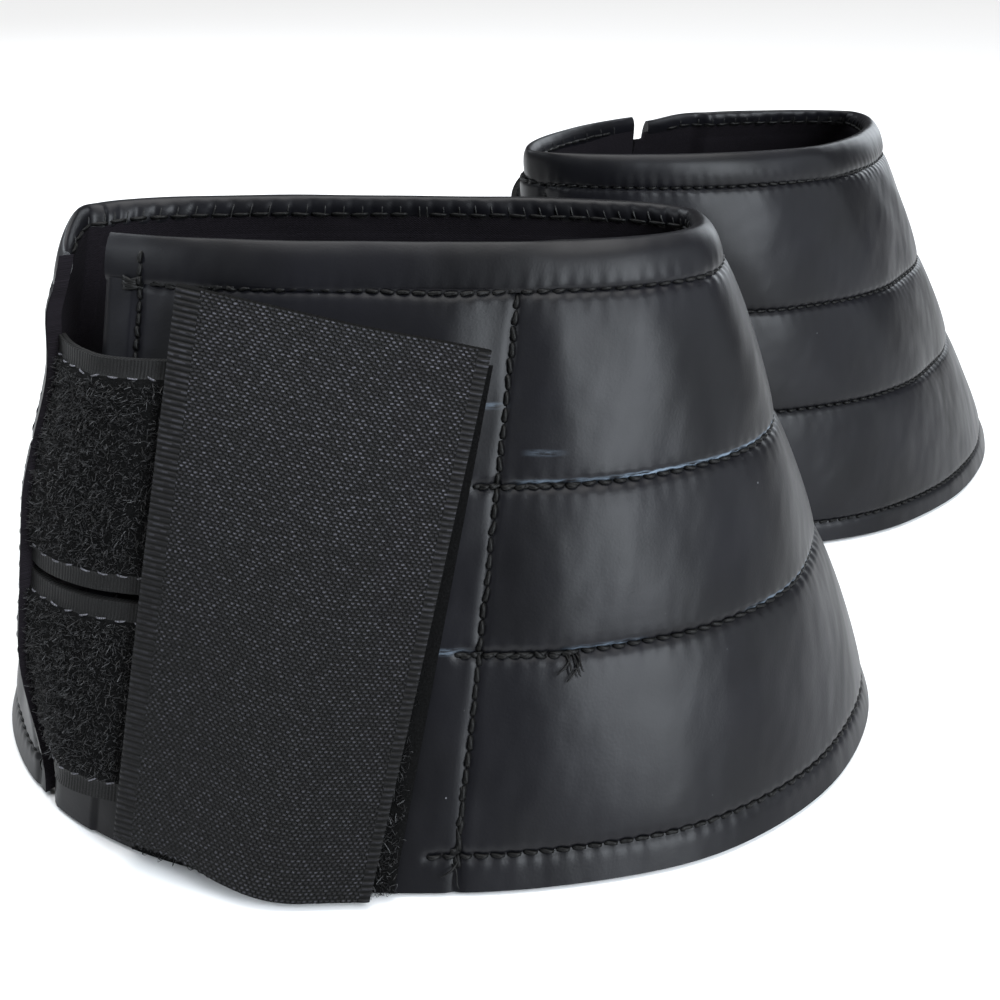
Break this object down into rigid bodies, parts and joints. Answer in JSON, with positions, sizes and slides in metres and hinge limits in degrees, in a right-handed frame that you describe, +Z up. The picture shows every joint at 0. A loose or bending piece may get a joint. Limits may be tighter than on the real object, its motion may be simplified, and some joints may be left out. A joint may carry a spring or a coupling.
{
  "type": "bell boots",
  "caption": "Pair of quilted bell boots: flared padded walls with a rolled collar, closed by two straps under a wide hook flap.",
  "frame": {"origin": "middle of the pair's footprint, on the ground", "axes": "+Z up; the front boot's closure faces -Y; the rear boot stands behind it towards +Y and +X"},
  "size_m": [0.3618, 0.4278, 0.135],
  "materials": {
    "leatherette": "satin grained PVC on knitted backing",
    "lining": "matte jersey over neoprene",
    "foam": "matte closed-cell foam",
    "loop_pile": "brushed loop pile",
    "hook_tape": "woven tape with ribbed selvedges",
    "thread": "bonded polyester thread, slight sheen"
  },
  "bodies": {
    "front_main": {"front_shell_main": "leatherette", "front_foam_main": "foam", "front_lining_main": "lining", "front_collar_main": "leatherette", "front_loop_panel": "loop_pile", "front_collar_seam_main": "thread", "front_upper_quilt_main": "thread", "front_lower_quilt_main": "thread", "front_hem_seam_main": "thread", "front_closure_seam": "thread", "front_end_seam_main": "thread"},
    "front_wing": {"front_shell_wing": "leatherette", "front_foam_wing": "foam", "front_lining_wing": "lining", "front_collar_wing": "leatherette", "front_collar_seam_wing": "thread", "front_upper_quilt_wing": "thread", "front_lower_quilt_wing": "thread", "front_hem_seam_wing": "thread", "front_end_seam_wing": "thread"},
    "front_flap": {"front_hook_flap": "hook_tape"},
    "front_upper_strap": {"front_upper_strap_loop": "loop_pile", "front_upper_strap_hook": "hook_tape", "front_upper_strap_top_row": "thread", "front_upper_strap_foot_row": "thread"},
    "front_lower_strap": {"front_lower_strap_loop": "loop_pile", "front_lower_strap_hook": "hook_tape", "front_lower_strap_top_row": "thread", "front_lower_strap_foot_row": "thread"},
    "rear_main": {"rear_shell_main": "leatherette", "rear_foam_main": "foam", "rear_lining_main": "lining", "rear_collar_main": "leatherette", "rear_loop_panel": "loop_pile", "rear_collar_seam_main": "thread", "rear_upper_quilt_main": "thread", "rear_lower_quilt_main": "thread", "rear_hem_seam_main": "thread", "rear_closure_seam": "thread", "rear_end_seam_main": "thread"},
    "rear_wing": {"rear_shell_wing": "leatherette", "rear_foam_wing": "foam", "rear_lining_wing": "lining", "rear_collar_wing": "leatherette", "rear_collar_seam_wing": "thread", "rear_upper_quilt_wing": "thread", "rear_lower_quilt_wing": "thread", "rear_hem_seam_wing": "thread", "rear_end_seam_wing": "thread"},
    "rear_flap": {"rear_hook_flap": "hook_tape"},
    "rear_upper_strap": {"rear_upper_strap_loop": "loop_pile", "rear_upper_strap_hook": "hook_tape", "rear_upper_strap_top_row": "thread", "rear_upper_strap_foot_row": "thread"},
    "rear_lower_strap": {"rear_lower_strap_loop": "loop_pile", "rear_lower_strap_hook": "hook_tape", "rear_lower_strap_top_row": "thread", "rear_lower_strap_foot_row": "thread"}
  },
  "joints": [
    {"name": "front_flap_peel", "type": "hinge", "parent": "front_main", "child": "front_flap", "pos_m": [-0.06678, -0.21309, 0.001], "axis": [0.2137, 0.4621, 0.8607], "range_deg": [0, 140]},
    {"name": "front_wing_open", "type": "hinge", "parent": "front_main", "child": "front_wing", "pos_m": [-0.06613, -0.04071, 0], "axis": [-0.0191, 0.2407, -0.9704], "range_deg": [0, 35]},
    {"name": "front_upper_strap_peel", "type": "hinge", "parent": "front_wing", "child": "front_upper_strap", "pos_m": [-0.15484, -0.1725, 0], "axis": [-0.0348, -0.3971, -0.9171], "range_deg": [0, 49]},
    {"name": "front_lower_strap_peel", "type": "hinge", "parent": "front_wing", "child": "front_lower_strap", "pos_m": [-0.15484, -0.1725, 0], "axis": [-0.0348, -0.3971, -0.9171], "range_deg": [0, 49]},
    {"name": "rear_flap_peel", "type": "hinge", "parent": "rear_main", "child": "rear_flap", "pos_m": [-0.02207, 0.04136, 0.001], "axis": [-0.0486, -0.3408, 0.9389], "range_deg": [0, 140]},
    {"name": "rear_wing_open", "type": "hinge", "parent": "rear_main", "child": "rear_wing", "pos_m": [0.17525, 0.15635, 0], "axis": [0.3748, 0.5252, -0.764], "range_deg": [0, 35]},
    {"name": "rear_upper_strap_peel", "type": "hinge", "parent": "rear_wing", "child": "rear_upper_strap", "pos_m": [0.01363, 0.12797, 0], "axis": [-0.0513, 0.2802, -0.9586], "range_deg": [0, 49]},
    {"name": "rear_lower_strap_peel", "type": "hinge", "parent": "rear_wing", "child": "rear_lower_strap", "pos_m": [0.01363, 0.12797, 0], "axis": [-0.0513, 0.2802, -0.9586], "range_deg": [0, 49]},
    {"name": "rear_boot_lift", "type": "slide", "parent": "front_main", "child": "rear_main", "axis": [0, 0, 1], "range_m": [0, 0.25]}
  ],
  "couplings": [
    {"joint": "front_wing_open", "follows": "front_flap_peel", "ratio": 0.25},
    {"joint": "front_upper_strap_peel", "follows": "front_flap_peel", "ratio": 0.35},
    {"joint": "front_lower_strap_peel", "follows": "front_flap_peel", "ratio": 0.35},
    {"joint": "rear_wing_open", "follows": "rear_flap_peel", "ratio": 0.25},
    {"joint": "rear_upper_strap_peel", "follows": "rear_flap_peel", "ratio": 0.35},
    {"joint": "rear_lower_strap_peel", "follows": "rear_flap_peel", "ratio": 0.35}
  ]
}
